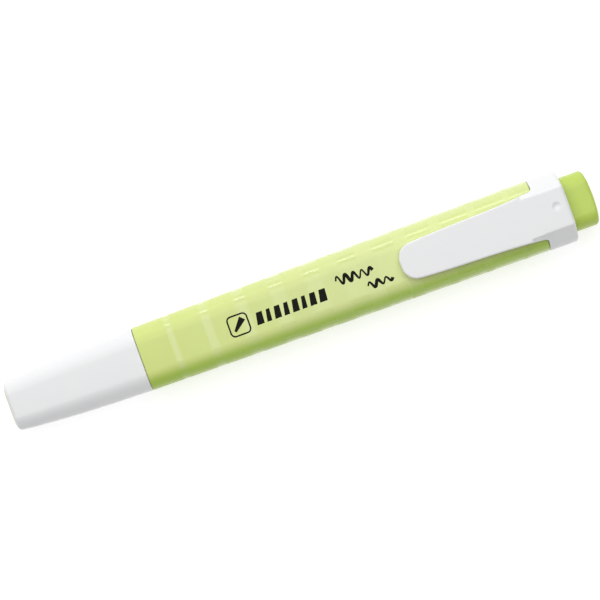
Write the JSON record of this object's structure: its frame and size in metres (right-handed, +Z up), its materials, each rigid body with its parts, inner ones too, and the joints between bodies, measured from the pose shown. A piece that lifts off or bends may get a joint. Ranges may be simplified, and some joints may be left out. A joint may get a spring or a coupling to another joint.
{
  "type": "highlighter",
  "caption": "Flat oval pocket highlighter with a slide-off cap, chisel nib, fibre ink reservoir, springy pocket clip and coloured rear plug.",
  "frame": {"origin": "under the middle of the closed pen's length, on the surface that it lies on with its clip upwards", "axes": "+X along the pen from the cap's closed end to the rear plug, +Y across the broad face, +Z up out of the broad face that carries the clip"},
  "size_m": [0.131, 0.0158, 0.0141],
  "materials": {
    "white_polypropylene": "moulded satin white",
    "lime_polypropylene": "moulded satin lime green",
    "pastel_barrel": "pastel lime with alternating satin and polished bands",
    "nib_fibre": "pressed fibre soaked in lime ink",
    "ink_fibre": "bonded fibre soaked in lime ink",
    "clear_film": "clear wrapping film"
  },
  "bodies": {
    "barrel": {"barrel": "pastel_barrel", "nib": "nib_fibre", "nib_holder": "white_polypropylene", "reservoir_core": "ink_fibre", "reservoir_film": "clear_film", "clip_ring": "white_polypropylene", "rear_plug": "lime_polypropylene"},
    "cap": {"cap_shell": "white_polypropylene", "cap_insert": "lime_polypropylene"},
    "clip": {"clip_arm": "white_polypropylene"}
  },
  "joints": [
    {"name": "cap_pull", "type": "slide", "parent": "barrel", "child": "cap", "axis": [-1, 0, 0], "range_m": [0, 0.032]},
    {"name": "clip_flex", "type": "hinge", "parent": "barrel", "child": "clip", "pos_m": [0.0534, 0, 0.0141], "axis": [0, 1, 0], "range_deg": [0, 5], "stiffness_Nm_per_rad": 0.6}
  ]
}
